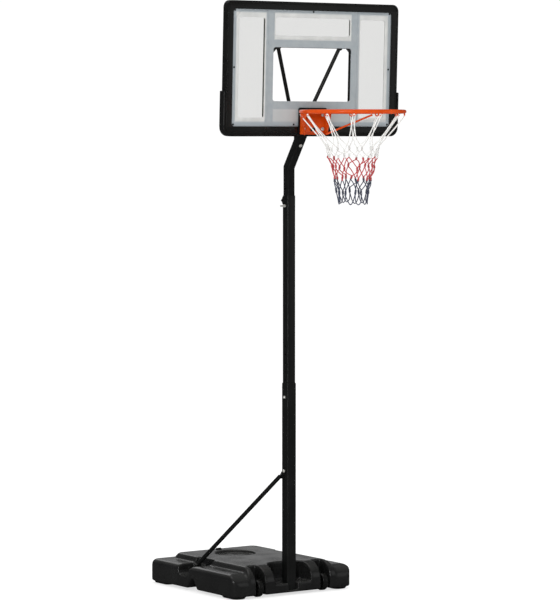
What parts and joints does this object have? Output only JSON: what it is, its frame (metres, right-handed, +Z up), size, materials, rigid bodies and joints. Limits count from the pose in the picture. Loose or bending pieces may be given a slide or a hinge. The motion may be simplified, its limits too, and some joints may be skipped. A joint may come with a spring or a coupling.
{
  "type": "portable basketball hoop",
  "caption": "Free-standing basketball hoop: wheeled ballast tank, braced telescoping square pole, framed backboard with a window, steel rim on a bracket and a cord net.",
  "frame": {"origin": "centre of the tank's flat underside, on the floor", "axes": "+Z up; -Y is the front, where the rim reaches out; +X is to the right seen from the front"},
  "size_m": [0.99, 1.428, 2.761],
  "materials": {
    "tank_plastic": "satin blow-moulded polyethylene, black",
    "water": "clear liquid inside the tank",
    "black_plastic": "satin moulded plastic, black",
    "rubber": "matt rubber, black",
    "zinc_steel": "zinc-plated steel",
    "black_screw": "black-plated screws",
    "pole_paint": "powder coat, black, slight sheen",
    "panel_plastic": "translucent grey-blue moulded sheet",
    "pane_plastic": "clear frosted sheet",
    "rim_paint": "orange gloss powder coat",
    "net_cord": "knotted cord, white above, red and navy below"
  },
  "bodies": {
    "base": {"base_tank": "tank_plastic", "ballast_water": "water", "filler_seal": "rubber", "axle_left": "zinc_steel", "axle_right": "zinc_steel", "pole_lower": "pole_paint", "pole_foot_plug": "black_plastic", "pole_foot_bolt": "zinc_steel", "brace_left": "pole_paint", "brace_right": "pole_paint", "brace_bolt": "zinc_steel", "brace_nut": "zinc_steel", "brace_screw_left": "zinc_steel", "brace_screw_right": "zinc_steel", "height_bolt_lower": "zinc_steel", "height_nut_lower": "zinc_steel"},
    "cap": {"filler_cap": "black_plastic"},
    "left_wheel": {"wheel_left": "black_plastic"},
    "right_wheel": {"wheel_right": "black_plastic"},
    "lower_clamp": {"clamp_knob_lower": "black_plastic", "clamp_screw_lower": "zinc_steel"},
    "middle_pole": {"pole_middle": "pole_paint", "height_bolt_upper": "zinc_steel", "height_nut_upper": "zinc_steel"},
    "upper_clamp": {"clamp_knob_upper": "black_plastic", "clamp_screw_upper": "zinc_steel"},
    "head": {"pole_neck": "pole_paint", "strut_left": "pole_paint", "strut_right": "pole_paint", "strut_bolt": "zinc_steel", "strut_nut": "zinc_steel", "strut_screw_left": "zinc_steel", "strut_screw_right": "zinc_steel", "rear_frame": "pole_paint", "backboard_panel": "panel_plastic", "backboard_frame": "black_plastic", "pane_left": "pane_plastic", "pane_right": "pane_plastic", "pane_top": "pane_plastic", "panel_screw_1": "black_screw", "panel_screw_2": "black_screw", "panel_screw_3": "black_screw", "panel_screw_4": "black_screw", "panel_screw_5": "black_screw", "panel_screw_6": "black_screw", "panel_screw_7": "black_screw", "panel_screw_8": "black_screw", "panel_screw_9": "black_screw", "bottom_guard": "rubber", "mounting_pad": "rubber", "rim_bracket": "rim_paint", "rim_ring": "rim_paint", "rim_rod_left": "rim_paint", "rim_rod_right": "rim_paint", "rim_bolt_1": "zinc_steel", "rim_bolt_2": "zinc_steel", "rim_bolt_3": "zinc_steel", "rim_bolt_4": "zinc_steel", "net": "net_cord"}
  },
  "joints": [
    {"name": "cap_turn", "type": "hinge", "parent": "base", "child": "cap", "pos_m": [0, 0.2695, 0.1465], "axis": [0, 0, 1], "range_deg": [0, 360]},
    {"name": "left_wheel_spin", "type": "hinge", "parent": "base", "child": "left_wheel", "pos_m": [-0.185, -0.3275, 0.0425], "axis": [1, 0, 0], "continuous": true},
    {"name": "right_wheel_spin", "type": "hinge", "parent": "base", "child": "right_wheel", "pos_m": [0.185, -0.3275, 0.0425], "axis": [1, 0, 0], "continuous": true},
    {"name": "lower_clamp_turn", "type": "hinge", "parent": "base", "child": "lower_clamp", "pos_m": [0, -0.2725, 0.97], "axis": [0, 1, 0], "range_deg": [0, 720]},
    {"name": "middle_pole_slide", "type": "slide", "parent": "base", "child": "middle_pole", "axis": [0, 0, 1], "range_m": [-0.24, 0]},
    {"name": "upper_clamp_turn", "type": "hinge", "parent": "middle_pole", "child": "upper_clamp", "pos_m": [0, -0.2725, 1.847], "axis": [0, 1, 0], "range_deg": [0, 720]},
    {"name": "head_slide", "type": "slide", "parent": "middle_pole", "child": "head", "axis": [0, 0, 1], "range_m": [-0.08, 0.16]}
  ]
}
